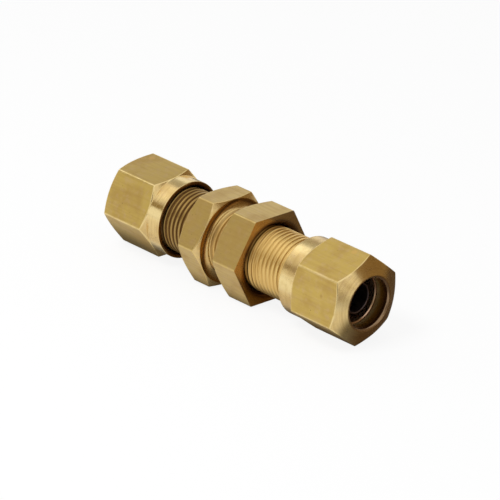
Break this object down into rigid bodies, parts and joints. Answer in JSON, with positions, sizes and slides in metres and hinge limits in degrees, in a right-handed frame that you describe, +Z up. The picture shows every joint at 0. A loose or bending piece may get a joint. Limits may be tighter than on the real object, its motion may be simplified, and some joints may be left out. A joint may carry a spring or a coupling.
{
  "type": "bulkhead union",
  "caption": "Turned brass compression union that carries a plastic tube through a bulkhead, with a hex shoulder, locknut, tube nuts, sleeves and tube supports.",
  "frame": {"origin": "on the axis at the panel seat, the face of the body's hex that lies against the bulkhead", "axes": "+X along the axis, through the panel towards the locknut; +Z up, with a flat of the body's hex and the locknut underneath"},
  "size_m": [0.0659, 0.0202, 0.0182],
  "materials": {
    "body_brass": "turned and drawn, satin",
    "locknut_brass": "turned and drawn, satin",
    "nut_brass": "turned and drawn, satin",
    "sleeve_brass": "turned, satin",
    "support_brass": "drawn tube, dull"
  },
  "bodies": {
    "union_body": {"union_body": "body_brass", "left_tube_support": "support_brass", "right_tube_support": "support_brass"},
    "bulkhead_locknut": {"bulkhead_locknut": "locknut_brass"},
    "left_sleeve": {"left_sleeve": "sleeve_brass"},
    "left_tube_nut": {"left_tube_nut": "nut_brass"},
    "right_sleeve": {"right_sleeve": "sleeve_brass"},
    "right_tube_nut": {"right_tube_nut": "nut_brass"}
  },
  "joints": [
    {"name": "locknut_travel", "type": "slide", "parent": "union_body", "child": "bulkhead_locknut", "axis": [1, 0, 0], "range_m": [-0.00405, 0.0096]},
    {"name": "left_sleeve_travel", "type": "slide", "parent": "union_body", "child": "left_sleeve", "axis": [-1, 0, 0], "range_m": [0, 0.0061]},
    {"name": "left_nut_turn", "type": "hinge", "parent": "left_sleeve", "child": "left_tube_nut", "pos_m": [-0.02, 0, 0], "axis": [-1, 0, 0], "range_deg": [0, 2070]},
    {"name": "right_sleeve_travel", "type": "slide", "parent": "union_body", "child": "right_sleeve", "axis": [1, 0, 0], "range_m": [0, 0.0061]},
    {"name": "right_nut_turn", "type": "hinge", "parent": "right_sleeve", "child": "right_tube_nut", "pos_m": [0.028, 0, 0], "axis": [1, 0, 0], "range_deg": [0, 2070]}
  ],
  "couplings": [
    {"joint": "left_sleeve_travel", "follows": "left_nut_turn", "m_per_rad": 0.00016844},
    {"joint": "right_sleeve_travel", "follows": "right_nut_turn", "m_per_rad": 0.00016844}
  ]
}
